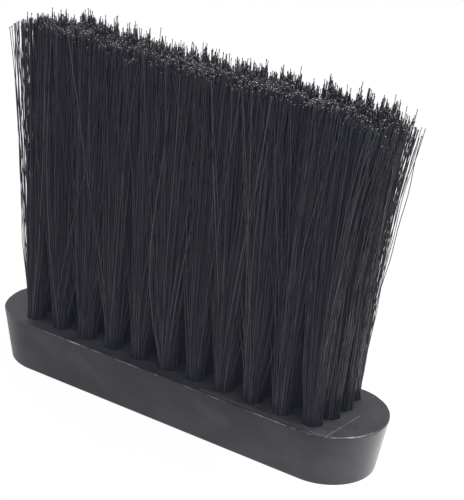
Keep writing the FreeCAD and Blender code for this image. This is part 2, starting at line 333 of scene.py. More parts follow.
MIXING = (0.25, 0.15)  # how far filaments trade places, along and across the block
WANDER, WANDER_LIMIT = 3.4 * MM, 26 * MM  # how far tips end from their own places along it
DRIFT, DRIFT_LIMIT = 0.8 * MM, 4 * MM  # the same across it
LEANING_FROM = 2  # from this many steps to the right of the middle
LEANING_ODDS = 0.15  # share of filaments there that lean outward
LEANING = (2 * MM, 9 * MM)
INNER_LIMIT = 70 * MM  # tips of the inner tufts that would pass this are turned back
TURN_BACK = 1.6

END_CORE = (0.58, 0.66)  # how close the end tufts at -X and +X stand to their neighbours
END_FRINGE = (0.42, 0.40)  # share of their outermost filaments that fan out beyond
END_DEPTH = 0.72  # how deep they are across the block
END_CALM = 0.12  # how much of their wandering is left
OUTERMOST = 0.35  # from here outward in the hole
EDGE_ODDS = 0.3  # share of the fringe that stands at its edge
EDGE_PLACES = (0.88, 1.0)
FRINGE_LIMIT = 0.9
FLY_ODDS = 0.25  # share of those that stand clear of it
FLY = (1.0 * MM, 4.5 * MM)

LOCKS = 9  # bundles that the filaments of a tuft gather in
END_LOCKS = 7
LOCK_SCATTER = 2.3 * MM  # how unevenly whole locks stand
LOCK_RISE = (-4 * MM, 3 * MM)
LOCK_SPREAD = 1.3  # how far along the block they lie, in half widths of the tuft
LOCK_REACH = 5 * MM  # how far a lock pulls
LOCK_PULL = (0.05, 0.8)
FRINGE_PULL = 0.1
LOCK_SLOPE, LOCK_DROP = 1.1, 3.2 * MM  # how fast and how far they fall away at their sides

RIGHT_BEND = 0.65
BEND_SCATTER = (-0.1, 0.2)
WILD_ODDS, WILDNESS, WILD_STRAY = 0.08, 2.5, 2.5 * MM
BOW = (0.8 * MM, 0.5 * MM)  # along and across the block
RIPPLE = 0.4  # share of the bow
FRINGE_BOW, FRINGE_RIPPLE = 0.7 * MM, 0.55 * MM
CRIMP = (0.10 * MM, 0.42 * MM)
CRIMP_WAVES = (2.5, 6.0)


def tuft_points(row, column):
    """The vertices of a tuft's CAD solid as an array."""
    vertices = NODES[f"tuft_{row}_{column:02d}"].data.vertices
    co = np.empty(len(vertices) * 3)
    vertices.foreach_get("co", co)
    return co.reshape(-1, 3)


def hole_centre(row, column):
    """The middle of a tuft's hole."""
    points = tuft_points(row, column)
    at_mouth = points[np.abs(points[:, 2] - BLOCK_TOP) < LEVEL]
    return ((at_mouth.min(0) + at_mouth.max(0)) / 2)[:2]


PLACES = [(row, column) for row in range(1, ROWS + 1) for column in range(1, COLUMNS + 1)]
HOLE_CENTRES = {place: hole_centre(*place) for place in PLACES}


def disc_to_square(x, y):
    """Spreads points of the unit disc evenly over the square from -1 to 1."""
    r = np.hypot(x, y)
    wide = np.abs(x) >= np.abs(y)
    ratio_x = np.divide(y, np.where(x == 0, 1e-9, x))
    ratio_y = np.divide(x, np.where(y == 0, 1e-9, y))
    u = np.where(wide, np.sign(x) * r, np.sign(y) * r * np.arctan(ratio_y) * 4 / math.pi)
    v = np.where(wide, np.sign(x) * r * np.arctan(ratio_x) * 4 / math.pi, np.sign(y) * r)
    return u, v


def half_disc(count):
    """Evenly spread places in the half of the unit disc where y is positive."""
    k = np.arange(4 * count)
    radius = np.sqrt((k + 0.5) / (2 * count))
    turn = k * math.pi * (3 - math.sqrt(5))
    x, y = radius * np.cos(turn), radius * np.sin(turn)
    inside = (radius <= 1.02) & (y > 0)
    return x[inside][:count], y[inside][:count]


def trimmed_height(x, y):
    """Height of the trimmed surface: it slopes to the back, and droops at both ends."""
    right = np.clip((x - 60 * MM) / (15 * MM), 0, 1.3)
    left = np.clip((-x - 66 * MM) / (10 * MM), 0, 1.3)
    proud = np.clip((-x - 28 * MM) / (16 * MM), 0, 1)
    sag = TRIM_SLOPE * y + TRIM_DROOP[1] * right**2 + TRIM_DROOP[0] * left**2
    return TRIM_MIDDLE + TRIM_PROUD * proud - sag


def heavy_tailed(rng, size, scale, limit):
    """Mostly small numbers, with a few large ones up to the limit."""
    return np.clip(rng.standard_t(2.5, size) * scale, -limit, limit)


def fan_out(rng, u, v, wander, hole_x, end):
    """Places in an end tuft: its core stands close, and thin strands fan out beyond it. Gives
    the places, how far each filament wanders, and which ones are the fringe."""
    count = len(u)
    core = END_CORE[end > 0]
    fringe = (end * hole_x > OUTERMOST) & (rng.random(count) < END_FRINGE[end > 0])
    edge = rng.random(count) < EDGE_ODDS
    at_edge = rng.uniform(*EDGE_PLACES, count)
    beyond_core = rng.uniform(2 * core - 1.1, FRINGE_LIMIT, count)
    in_core = (end * u + 1) * core - 1
    across = np.where(fringe, np.where(edge, at_edge, beyond_core), in_core)
    wander = np.where(fringe | (wander * end > 0), wander * END_CALM, wander)
    flies = fringe & edge & (rng.random(count) < FLY_ODDS)
    wander += end * flies * rng.uniform(*FLY, count)
    return end * across, v * END_DEPTH, wander, fringe


def place_tips(rng, tips, hole_x, hole_y, steps, end):
    """Where the tips end, how far each filament wanders, and which ones are loose fringe."""
    middle, half = tips
    count = len(hole_x)
    mixed_x = hole_x + rng.normal(0, MIXING[0], count)
    mixed_y = hole_y + rng.normal(0, MIXING[1], count)
    reach = np.maximum(np.hypot(mixed_x, mixed_y), 1.0)
    u, v = disc_to_square(mixed_x / reach, mixed_y / reach)
    wander = heavy_tailed(rng, count, WANDER, WANDER_LIMIT)
    fringe = np.zeros(count, dtype=bool)
    if end:
        u, v, wander, fringe = fan_out(rng, u, v, wander, hole_x, end)
    elif steps >= LEANING_FROM:
        wander += (rng.random(count) < LEANING_ODDS) * rng.uniform(*LEANING, count)
    tip_x = middle[0] + u * half[0] + wander
    tip_y = middle[1] + v * half[1] + heavy_tailed(rng, count, DRIFT, DRIFT_LIMIT)
    if not end:
        over = np.maximum(np.abs(tip_x) - INNER_LIMIT, 0)
        tip_x -= np.sign(tip_x) * over * TURN_BACK
    return tip_x, tip_y, wander, fringe


def gather(rng, tips, tip_x, tip_y, fringe, end, rough):
    """Draws neighbouring tips together into locks. Gives the tips, how high each one's lock
    stands, and how far each one is from the middle of it."""
    middle, half = tips
    locks = END_LOCKS if end else LOCKS
    lock_x = middle[0] + rng.uniform(-LOCK_SPREAD, LOCK_SPREAD, locks) * half[0]
    lock_y = middle[1] + rng.uniform(-1, 1, locks) * half[1]
    if end:
        limit = middle[0] + end * half[0]
        lock_x = limit - end * np.abs(end * (limit - lock_x))
    lock_z = np.clip(rng.normal(0, LOCK_SCATTER * rough, locks), *LOCK_RISE)
    apart = np.hypot(tip_x[:, None] - lock_x, tip_y[:, None] - lock_y)
    nearest = apart.argmin(1)
    pull = rng.uniform(*LOCK_PULL, len(tip_x)) * (apart.min(1) < LOCK_REACH)
    pull = np.where(fringe, FRINGE_PULL * pull, pull)
    tip_x = tip_x + (lock_x[nearest] - tip_x) * pull
    tip_y = tip_y + (lock_y[nearest] - tip_y) * pull
    aside = np.hypot(tip_x - lock_x[nearest], tip_y - lock_y[nearest])
    return tip_x, tip_y, lock_z[nearest], aside


def tip_heights(rng, tip_x, tip_y, rise, aside, column, rough):
    """How high the tips stand: trimmed, but unevenly, and lower at the sides of each lock."""
    count = len(tip_x)
    tip_z = trimmed_height(tip_x, tip_y) + rise
    tip_z -= rough * np.minimum(aside * LOCK_SLOPE, LOCK_DROP)
    tip_z += rng.normal(0, TIP_SCATTER * rough, count)
    if column == COLUMNS:
        tip_z -= np.minimum(rng.gamma(1.0, SHORT, count), SHORT_LIMIT)
    tall = rng.random(count) < TALL_ODDS
    return tip_z + tall * rng.uniform(*TALL, count) * (max(rough, 1.0) if column == 1 else rough)


def crimps(rng, fringe, t):
    """How far the fringe's filaments wave aside, so that they cross and close into a lace."""
    count = len(fringe)
    crimp = fringe * rng.uniform(*CRIMP, count)
    waves = rng.uniform(*CRIMP_WAVES, count)
    phase = rng.uniform(0, 2 * math.pi, count)
    wave = np.sin(2 * math.pi * waves[:, None] * t + phase[:, None])
    return crimp[:, None] * wave * np.minimum(4 * t, 1)


def curve_up(rng, base, tip, fringe, steps, end):
    """Centre lines from the mouth of the hole to the tips, and which ones are wild."""
    count = len(fringe)
    # The tufts at +X stand straight at first and bend outward higher up.
    bend = 1.0 + RIGHT_BEND * min(max(steps - 1, 0) / 4, 1.0)
    t = np.append(np.linspace(0, 1, END_RISES if end else RISES), 1.0)
    t[-2] = 1.0 - FLARE_LENGTH / (TRIM_MIDDLE - BLOCK_TOP)
    lean = t[None, :] ** (bend + rng.uniform(*BEND_SCATTER, count))[:, None]
    path = np.empty((count, len(t), 3))
    for axis in (0, 1):
        path[:, :, axis] = base[axis][:, None] + (tip[axis] - base[axis])[:, None] * lean
    path[:, :, 2] = BLOCK_TOP + (tip[2] - BLOCK_TOP)[:, None] * t[None, :]
    wild = rng.random(count) < WILD_ODDS
    for axis, amount in enumerate(BOW):
        bow = (1.0 + WILDNESS * wild) * rng.normal(0, amount, count)
        ripple = (1.0 + WILDNESS * wild) * rng.normal(0, RIPPLE * amount, count)
        if end and axis == 0:
            bow = np.where(fringe, rng.normal(0, FRINGE_BOW, count), -end * np.abs(bow))
            ripple = np.where(fringe, rng.normal(0, FRINGE_RIPPLE, count), ripple)
        bow = bow[:, None] * np.sin(math.pi * t)
        ripple = ripple[:, None] * np.sin(2 * math.pi * t)
        path[:, :, axis] += bow + ripple
    if end:
        path[:, :, 0] += crimps(rng, fringe, t)
    return path, wild


def rising_half(rng, tips, hole_x, hole_y, base, row, column):
    """Centre lines of one half of each filament, from the mouth of the hole to the tip, and how
    far each one strays."""
    steps = column - MIDDLE_COLUMN
    end = int(steps / END_STEPS)  # -1 and 1 for the tufts at the two ends, and 0 between
    rough = ROW_ROUGHNESS[row - 1]
    tip_x, tip_y, wander, fringe = place_tips(rng, tips, hole_x, hole_y, steps, end)
    tip_x, tip_y, rise, aside = gather(rng, tips, tip_x, tip_y, fringe, end, rough)
    tip_z = tip_heights(rng, tip_x, tip_y, rise, aside, column, rough)
    path, wild = curve_up(rng, base, (tip_x, tip_y, tip_z), fringe, steps, end)
    return path, np.abs(wander) + wild * WILD_STRAY


def tuft_paths(rng, row, column):
    """Centre lines of a tuft's filaments as an array (filament, ring, xyz), from one tip down
    under the anchor and up to the other, and how far each one strays."""
    points = tuft_points(row, column)
    at_tips = points[points[:, 2] > points[:, 2].max() - LEVEL]
    low, high = at_tips.min(0), at_tips.max(0)
    tips = ((low + high) / 2, (high - low) / 2)
    centre = HOLE_CENTRES[row, column]

    hole_x, hole_y = half_disc(FILAMENTS)
    from_anchor = ANCHOR_GAP + hole_y * (HOLE_REACH - ANCHOR_GAP)
    base_x = centre[0] + hole_x * HOLE_REACH
    halves = []
    strays = np.zeros(len(hole_x))
    for side in (1.0, -1.0):
        base = (base_x, centre[1] + side * from_anchor)
        path, stray = rising_half(rng, tips, hole_x, side * hole_y, base, row, column)
        halves.append(path)
        strays = np.maximum(strays, stray)

    turn = np.linspace(0, math.pi, FOLDS)
    depth = FOLD_DEPTHS[0] + FOLD_DEPTHS[1] * hole_y
    fold = np.empty((len(hole_x), FOLDS, 3))
    fold[:, :, 0] = base_x[:, None]
    fold[:, :, 1] = centre[1] + from_anchor[:, None] * np.cos(turn)[None, :]
    fold[:, :, 2] = ANCHOR_BOTTOM - depth[:, None] * np.sin(turn)[None, :]
    return np.concatenate([halves[0][:, ::-1], fold, halves[1]], axis=1), strays


def directions_across(paths):
    """Two unit vectors at every ring, square to the centre line and to each other."""
    along = np.gradient(paths, axis=1)
    along /= np.linalg.norm(along, axis=2, keepdims=True)
    first = np.zeros_like(along)
    first[..., 0] = 1.0
    first -= along * (first * along).sum(2, keepdims=True)
    first /= np.linalg.norm(first, axis=2, keepdims=True)
    return first, np.cross(along, first)


def tube_points(rng, paths):
    """Rings of points round the centre lines as an array (filament, ring, side, xyz), and the
    tones of each filament's two cut ends."""
    count, rings, _ = paths.shape
    first, second = directions_across(paths)
    phase = rng.uniform(0, 2 * math.pi, count)
    angle = phase[:, None] + np.arange(SIDES) * (2 * math.pi / SIDES)
    cos, sin = np.cos(angle)[:, None, :, None], np.sin(angle)[:, None, :, None]
    ring = first[:, :, None, :] * cos + second[:, :, None, :] * sin
    radius = FILAMENT_RADIUS * rng.uniform(*THICKNESS, count)
    thick = np.repeat(radius[:, None], rings, axis=1)
    end_tones = rng.random((count, 2))
    # Ends with a tone above PAINTED_GLINT_FROM are painted pale as a painted highlight, and are
    # flared wider.
    thick[:, [0, -1]] *= np.where(end_tones > PAINTED_GLINT_FROM, WIDE_FLARE, TIP_FLARE)
    return paths[:, :, None, :] + ring * thick[:, :, None, None], end_tones


def tube_faces(count, rings):
    """Point numbers of the quads round these tubes, and of the caps on their ends."""
    start = np.arange(count)[:, None, None] * rings * SIDES
    level = np.arange(rings - 1)[None, :, None] * SIDES
    k = np.arange(SIDES)[None, None, :]
    after = (k + 1) % SIDES
    low, high = start + level, start + level + SIDES
    sides = np.stack([low + k, low + after, high + after, high + k], axis=3).reshape(-1, 4)
    base = (np.arange(count) * rings * SIDES)[:, None]
    last = base + (rings - 1) * SIDES
    return sides, np.concatenate([base + np.arange(SIDES)[::-1], last + np.arange(SIDES)])


def tube_mesh(name, rng, paths, tone):
    """One mesh of closed tubes round these centre lines, with the cut ends in slot 1."""
    count, rings, _ = paths.shape
    co, end_tones = tube_points(rng, paths)
    sides, caps = tube_faces(count, rings)
    corners = np.concatenate([sides.ravel(), caps.ravel()]).astype(np.int32)
    lengths = np.concatenate([np.full(len(sides), 4), np.full(len(caps), SIDES)])
    starts = np.concatenate([[0], np.cumsum(lengths)[:-1]]).astype(np.int32)
    mesh = bpy.data.meshes.new(name)
    mesh.vertices.add(count * rings * SIDES)
    mesh.vertices.foreach_set("co", co.astype(np.float32).ravel())
    mesh.loops.add(len(corners))
    mesh.loops.foreach_set("vertex_index", corners)
    mesh.polygons.add(len(starts))
    mesh.polygons.foreach_set("loop_start", starts)
    slots = (np.arange(len(starts)) >= len(sides)).astype(np.int32)
    mesh.polygons.foreach_set("material_index", slots)
    mesh.polygons.foreach_set("use_smooth", slots == 0)
    cut = np.zeros((count, rings, SIDES))
    cut[:, 0] = end_tones[:, :1]
    cut[:, -1] = end_tones[:, 1:]
    for label, values in (("tone", np.repeat(tone, rings * SIDES)), ("cut", cut)):
        stored = mesh.attributes.new(label, "FLOAT", "POINT")
        stored.data.foreach_set("value", values.ravel().astype(np.float32))
    mesh.update(calc_edges=True)
    mesh.validate()
    return mesh


def filament_tones(rng, strays):
    """How pale each filament is: most are dark at random, and a few are painted pale as a painted
    highlight, the ones that stray more often.
    """
    count = len(strays)
    tone = rng.beta(2.0, 6.0, count)
    odds = PAINTED_GLINT_ODDS
    for far, more in STRAY_ODDS:
        odds = odds + more * (strays > far)
    pale = rng.random(count) < odds
    return np.where(pale, rng.uniform(*PAINTED_GLINT_TONES, count), tone)


def make_bristles():
    """One piece for each tuft, in place of its CAD solid."""
    filament, cut_end = bristle_material(), cut_end_material()
    for row, column in PLACES:
        rng = np.random.default_rng(1000 * row + column)
        paths, strays = tuft_paths(rng, row, column)
        tone = filament_tones(rng, strays)
        name = f"bristles_{row}_{column:02d}"
        mesh = tube_mesh(name, rng, paths, tone)
        mesh.materials.append(filament)
        mesh.materials.append(cut_end)
        tuft = new_object(name, mesh)
        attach(tuft, "root")
        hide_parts(f"tuft_{row}_{column:02d}")


# ---- block

BLOCK_INSET = 3.4 * MM  # how far the underside's outline lies inside the top one
DRAFT = math.atan2(BLOCK_INSET, BLOCK_TOP)
FOOT_RADIUS = TOP_RADIUS - BLOCK_INSET
TOP_ROUND = 0.55 * MM
BOTTOM_ROUND = 0.8 * MM
OUTLINE_STEP = 0.45 * MM

BOTTOM_RINGS = 6  # round the bottom edge
SIDE_RINGS = 12
TOP_RINGS = 12  # round the top edge
FIRST_SIDE = 1 + BOTTOM_RINGS  # the first ring of all lies on the underside
FIRST_TOP = FIRST_SIDE + SIDE_RINGS
CREST = 6  # ring of the top edge that the flash stands on
CREST_WEAR_AND_PAINTED_GLINT = ((-1, 0.45), (0, 1.0), (1, 0.7), (2, 0.25))  # how pale the rings about it are painted: wear, and a painted highlight
SIDE_WAVE = 0.045 * MM  # how uneven the sides are

HOLE_RADIUS = 3.55 * MM
HOLE_DEPTH = 10 * MM
HOLE_BEVEL = 0.12 * MM
ARC_POINTS = 17  # on each half of a hole's mouth
SLIT_LENGTH = 8.1 * MM
SLIT_WIDTH = 0.45 * MM
SLIT_FLOOR = ANCHOR_BOTTOM - 0.05 * MM
SEAT_RADIUS = 5.03 * MM
SEAT_BEVEL = 0.2 * MM
SEAT_POINTS = 64
BLOCK_SHARP = 32  # degrees: edges that turn by more are drawn sharp

# Thin flash left by the mould along the block's top edge: where each stretch starts and ends
# round the outline, in millimetres from the middle of the front, and how high it stands.
FLASH = [
    (-53, -45, 0.22), (-41, -34, 0.30), (-29, -25, 0.16), (17, 22, 0.16), (27, 32, 0.18),
    (39, 58, 0.22), (71, 92, 0.42), (128, 150, 0.20), (176, 196, 0.22), (236, 262, 0.24),
    (300, 312, 0.18),
]
FLASH_PALE = 0.28 * MM  # flash this high is painted fully pale: wear, and a painted highlight


class Shell:
    """The points and faces of a closed mesh while it is being built."""

    def __init__(self):
        self.points = []
        self.faces = []

    def ring(self, flat, height):
        """Adds points at these places and this height. Gives their numbers."""
        start = len(self.points)
        self.points.extend((x, y, height) for x, y in flat)
        return list(range(start, len(self.points)))

    def join(self, low, high):
        """Adds quads between two rings of point numbers, each as long as the other."""
        size = len(low)
        for k in range(size):
            after = (k + 1) % size
            self.faces.append((low[k], low[after], high[after], high[k]))

    def stack(self, rings):
        """Joins each ring to the next."""
        for low, high in zip(rings, rings[1:]):
            self.join(low, high)

    def fill(self, outer, holes, extra, height, upward):
        """Adds triangles inside an outer ring, with the holes left open and the extra places
        as new points."""
        loops = [np.array([self.points[n][:2] for n in loop]) / MM for loop in (outer, *holes)]
        numbers, edges = [], []
        for loop in (outer, *holes):
            start, size = len(numbers), len(loop)
            numbers += loop
            edges += [(start + k, start + (k + 1) % size) for k in range(size)]
        numbers += self.ring(extra, height)
        coords = [Vector((self.points[n][0] / MM, self.points[n][1] / MM)) for n in numbers]
        verts, _, faces, origin, _, _ = geometry.delaunay_2d_cdt(coords, edges, [], 0, 1e-6)
        for face in faces:
            middle = sum((np.array(verts[k]) for k in face), np.zeros(2)) / 3
            if not inside_loop(middle, loops[0]):
                continue
            if any(inside_loop(middle, hole) for hole in loops[1:] if near(middle, hole)):
                continue
            corners = [numbers[origin[k][0]] for k in face]
            self.faces.append(corners if upward else corners[::-1])

    def build(self, name, sharp):
        """A smooth-shaded object, sharp where it turns by more than this many degrees."""
        mesh = bpy.data.meshes.new(name)
        mesh.from_pydata(self.points, [], self.faces)
        shape = bmesh.new()
        shape.from_mesh(mesh)
        bmesh.ops.recalc_face_normals(shape, faces=shape.faces)
        shape.to_mesh(mesh)
        shape.free()
        mesh.shade_smooth()
        mesh.set_sharp_from_angle(angle=math.radians(sharp))
        return new_object(name, mesh)


def near(point, loop):
    """True if a point is within a few millimetres of a small loop."""
    return np.abs(loop.mean(0) - point).max() < 7.0


def inside_loop(point, loop):
    """True if a point lies inside a closed loop."""
    x, y = loop[:, 0], loop[:, 1]
    x2, y2 = np.roll(x, -1), np.roll(y, -1)
    crossing = (y > point[1]) != (y2 > point[1])
    with np.errstate(divide="ignore", invalid="ignore"):
        at = x + (point[1] - y) * (x2 - x) / (y2 - y)
    return bool((crossing & (point[0] < at)).sum() % 2)


def outline_stations():
    """Stations round the block's outline, counter-clockwise from the middle of the front: the X
    of the centre line, the outward normal, the distance along the top edge, and its length."""
    half = int(round(STRAIGHT / OUTLINE_STEP))
    arc = int(round(math.pi * TOP_RADIUS / OUTLINE_STEP))
    along = [STRAIGHT * k / half for k in range(half)] + [STRAIGHT] * arc
    along += [STRAIGHT * (1 - k / half) for k in range(2 * half)] + [-STRAIGHT] * arc
    along += [-STRAIGHT * (1 - k / half) for k in range(half)]
    turn = [0.0] * half + [math.pi * k / arc for k in range(arc)] + [math.pi] * (2 * half)
    turn += [math.pi * (1 + k / arc) for k in range(arc)] + [2 * math.pi] * half
    along, turn = np.array(along), np.array(turn)
    normal = np.stack([np.sin(turn), -np.cos(turn)], axis=1)
    top = np.stack([along, np.zeros_like(along)], axis=1) + normal * TOP_RADIUS
    steps = np.linalg.norm(np.roll(top, -1, axis=0) - top, axis=1)
    distance = np.concatenate([[0.0], np.cumsum(steps)[:-1]])
    return along, normal, distance, steps.sum()


def smooth_field(points, wavelength, seed):
    """Smooth noise of about -1 to 1 at these points."""
    shift = Vector((seed * 17.3, seed * 5.1, seed * 11.7))
    return np.array([smooth_noise.noise(Vector(p) / wavelength + shift) for p in points])


def flash_height(edge, total):
    """How high the flash stands at each station."""
    place = np.where(edge[:, 0] > total / 2, edge[:, 0] - total, edge[:, 0])
    height = np.zeros_like(place)
    for first, last, rise in FLASH:
        half = (last - first) / 2 * MM
        for shift in (0.0, -total):
            middle = (first + last) / 2 * MM + shift
            inside = np.clip(1 - ((place - middle) / half) ** 2, 0, 1)
            height = np.maximum(height, rise * MM * np.sqrt(inside))
    ragged = smooth_field(edge, 1.1 * MM, 3) + 0.6 * smooth_field(edge, 0.5 * MM, 4)
    return height * np.clip(0.8 + 0.45 * ragged, 0.0, 1.5)


def rounded(radius, height, start, end, rings):
    """The profile round one edge of the block, as each ring's distance out and height."""
    centre = FOOT_RADIUS + (height * math.sin(DRAFT) - radius) / math.cos(DRAFT)
    for angle in np.linspace(start, end, rings):
        yield centre + radius * math.cos(angle), height + radius * math.sin(angle)


def block_profile(top_round, flash, lean):
    """Each ring's distance out and height, from the underside to the top face, with the flash
    on the top edge leaning outward."""
    foot = np.full(len(flash), BOTTOM_ROUND)
    bottom = list(rounded(foot, foot, -math.pi / 2, -DRAFT, BOTTOM_RINGS))
    top = list(rounded(top_round, BLOCK_TOP - top_round, -DRAFT, math.pi / 2, TOP_RINGS))
    out, height = top[CREST]
    top[CREST] = (out + flash * np.sin(lean) * 0.6, height + flash * np.cos(lean))
    side_low = bottom[-1][1]
    side_high = BLOCK_TOP - top_round * (1 + math.sin(DRAFT))
    side = []
    for share in np.linspace(0, 1, SIDE_RINGS + 2)[1:-1]:
        height = side_low + (side_high - side_low) * share
        side.append((FOOT_RADIUS + height * math.tan(DRAFT), height))
    under = [(bottom[0][0] - 1.5 * MM, bottom[0][1])]
    over = [(top[-1][0] - inset, top[-1][1]) for inset in (0.5 * MM, 1.3 * MM)]
    return under + bottom + side + top + over


def block_rings(along, normal, distance, total):
    """Rings up the outside of the block, from the underside to the top face, and how pale each point
    is painted: wear, and a painted highlight along the top edge."""
    count = len(along)
    edge = np.stack([distance, np.zeros(count), np.zeros(count)], axis=1)
    rough = smooth_field(edge, 9 * MM, 1) + 0.5 * smooth_field(edge, 2.2 * MM, 2)
    top_round = TOP_ROUND * np.clip(1.0 + 0.6 * rough, 0.45, 1.7)
    flash = flash_height(edge, total)
    lean = 0.6 + 0.5 * smooth_field(edge, 3 * MM, 5)
    rings = []
    for radius, height in block_profile(top_round, flash, lean):
        ring = np.empty((count, 3))
        ring[:, 0] = along + normal[:, 0] * radius
        ring[:, 1] = normal[:, 1] * radius
        ring[:, 2] = height
        rings.append(ring)
    for ring in rings[FIRST_SIDE:FIRST_TOP]:
        swell = smooth_field(ring, 14 * MM, 6) + 0.35 * smooth_field(ring, 4 * MM, 7)
        ring[:, :2] += normal * (SIDE_WAVE * swell)[:, None]
    # The edge is painted pale where flash stands and here and there between: partly wear, partly a
    # painted highlight.
    specks = smooth_field(edge, 2.0 * MM, 8) + 0.4 * smooth_field(edge, 0.6 * MM, 9)
    pale = np.clip(flash / FLASH_PALE, 0, 1) * np.clip(0.55 + 0.7 * specks, 0, 1)
    pale = np.maximum(pale, 0.30 * np.clip(rough + 0.8 * specks, 0, 1))
    wear_and_painted_glint = np.zeros((len(rings), count))
    for above, share in CREST_WEAR_AND_PAINTED_GLINT:
        wear_and_painted_glint[FIRST_TOP + CREST + above] = pale * share
    return rings, wear_and_painted_glint.ravel()


def hole_outline():
    """A tuft hole's mouth about its middle: two arcs, with the ends of the anchor's slit
    between them. Gives the points and which of them lie on the arcs."""
    lip = math.asin(SLIT_WIDTH / 2 / HOLE_RADIUS)
    half = SLIT_LENGTH / 2
    points, on_arc = [], []
    for turn in (0.0, math.pi):
        for angle in np.linspace(lip, math.pi - lip, ARC_POINTS):
            points.append((math.cos(turn + angle), math.sin(turn + angle)))
            on_arc.append(True)
        side = math.cos(turn)
        for across in (SLIT_WIDTH / 2, -SLIT_WIDTH / 2):
            points.append((-side * half / HOLE_RADIUS, side * across / HOLE_RADIUS))
            on_arc.append(False)
    return np.array(points) * HOLE_RADIUS, on_arc


def bore_holes(shell):
    """Every tuft's blind hole with its bevelled mouth and the anchor's slit. Gives the edges of
    their mouths."""
    mouth, on_arc = hole_outline()
    count = len(mouth)
    arcs = [k for k in range(count) if on_arc[k]]
    edges = []
    for centre in HOLE_CENTRES.values():
        edge = shell.ring(mouth * (1 + HOLE_BEVEL / HOLE_RADIUS) + centre, BLOCK_TOP)
        lip = shell.ring(mouth + centre, BLOCK_TOP - HOLE_BEVEL)
        ledge = shell.ring(mouth + centre, SLIT_FLOOR)
        shell.join(lip, edge)
        shell.join(ledge, lip)
        for k in arcs:
            if not on_arc[(k + 1) % count]:
                shell.faces.append([ledge[(k + j) % count] for j in range(4)][::-1])
        floor = shell.ring((mouth + centre)[arcs], BLOCK_TOP - HOLE_DEPTH)
        shell.join(floor, [ledge[k] for k in arcs])
        shell.faces.append(floor)
        edges.append(edge)
    return edges


def open_places():
    """Places on the top face clear of its edge and the holes, for extra points."""
    return [
        (x, y)
        for x in np.arange(-78, 79, 4.0) * MM
        for y in np.arange(-17, 18, 4.25) * MM
        if math.hypot(max(abs(x) - STRAIGHT, 0), y) < TOP_RADIUS - 3 * MM
        and all(
            abs(x - hole[0]) > 5 * MM or abs(y - hole[1]) > 4.4 * MM
            for hole in HOLE_CENTRES.values()
        )
    ]


def sink_seat(shell):
    """The blind seat of the handle's insert, in the underside. Gives the edge of its mouth."""
    turn = np.linspace(0, 2 * math.pi, SEAT_POINTS, endpoint=False)
    circle = np.array([(math.cos(a), math.sin(a)) for a in turn])
    edge = shell.ring(circle * (SEAT_RADIUS + SEAT_BEVEL), 0.0)
    lip = shell.ring(circle * SEAT_RADIUS, SEAT_BEVEL)
    floor = shell.ring(circle * SEAT_RADIUS, INSERT_LENGTH)
    shell.stack([edge, lip, floor])
    shell.faces.append(floor[::-1])
    return edge


def make_block():
    """The moulded block as one closed mesh, with its tuft holes, anchor slits and insert seat."""
    shell = Shell()
    rings, edge_wear_and_painted_glint = block_rings(*outline_stations())
    shell.points += [tuple(p) for ring in rings for p in ring]
    size = len(rings[0])
    levels = [list(range(k * size, (k + 1) * size)) for k in range(len(rings))]
    shell.stack(levels)
    shell.fill(levels[-1], bore_holes(shell), open_places(), BLOCK_TOP, True)
    shell.fill(levels[0], [sink_seat(shell)], [], 0.0, False)

    block = shell.build("block_moulding", BLOCK_SHARP)
    # How pale the edge is painted: wear, and a painted highlight.
    wear_and_painted_glint = np.zeros(len(shell.points), dtype=np.float32)
    wear_and_painted_glint[: len(edge_wear_and_painted_glint)] = edge_wear_and_painted_glint
    block.data.attributes.new("wear_and_painted_glint", "FLOAT", "POINT").data.foreach_set("value", wear_and_painted_glint)
    block.data.materials.append(block_material())
    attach(block, "root")
    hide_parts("block")


# ---- handle insert

INSERT_POINTS = 72
INSERT_TURN = np.linspace(0, 2 * math.pi, INSERT_POINTS, endpoint=False)
INSERT_SHARP = 35  # degrees
THREAD_PITCH = 1.25 * MM
THREAD_CREST = 3.325 * MM
THREAD_ROOT = 4.0 * MM
THREAD_RINGS = 12  # in each turn
BORE_CHAMFER = 0.6 * MM
INSERT_RADIUS = 5.0 * MM
INSERT_BEVEL = 0.25 * MM
KNURL_DEPTH = 0.18 * MM
KNURLS = 18
KNURL_TWIST = 3000  # radians in each metre up the side
GROOVE_RADIUS = 4.4 * MM
GROOVE_LOW, GROOVE_HIGH = INSERT_LENGTH / 2 - 1.0 * MM, INSERT_LENGTH / 2 + 1.0 * MM
GROOVE_WALL = 0.02 * MM


def insert_ring(shell, radius, height):
    """A ring round the insert's axis, with one radius or one for each of its points."""
    radius = np.broadcast_to(radius, INSERT_TURN.shape)
    flat = np.stack([radius * np.cos(INSERT_TURN), radius * np.sin(INSERT_TURN)], axis=1)
    return shell.ring(flat, height)


def thread_bore(shell):
    """The bore with its thread, fading out at both ends. Gives its lowest and highest rings."""
    rows = int(INSERT_LENGTH / THREAD_PITCH * THREAD_RINGS)
    rings = []
    for k in range(rows + 1):
        z = INSERT_LENGTH * k / rows
        phase = (z / THREAD_PITCH - INSERT_TURN / (2 * math.pi)) % 1.0
        tooth = np.clip(np.abs(phase * 2 - 1) * 1.25 - 0.12, 0, 1)
        fade = max(min(1.0, z / (0.5 * MM), (INSERT_LENGTH - z) / (0.3 * MM)), 0.0)
        radius = THREAD_CREST + (THREAD_ROOT - THREAD_CREST) * tooth * fade
        rings.append(insert_ring(shell, radius + max(0.0, BORE_CHAMFER - z), z))
    for low, high in zip(rings, rings[1:]):
        shell.join(high, low)
    return rings[0], rings[-1]


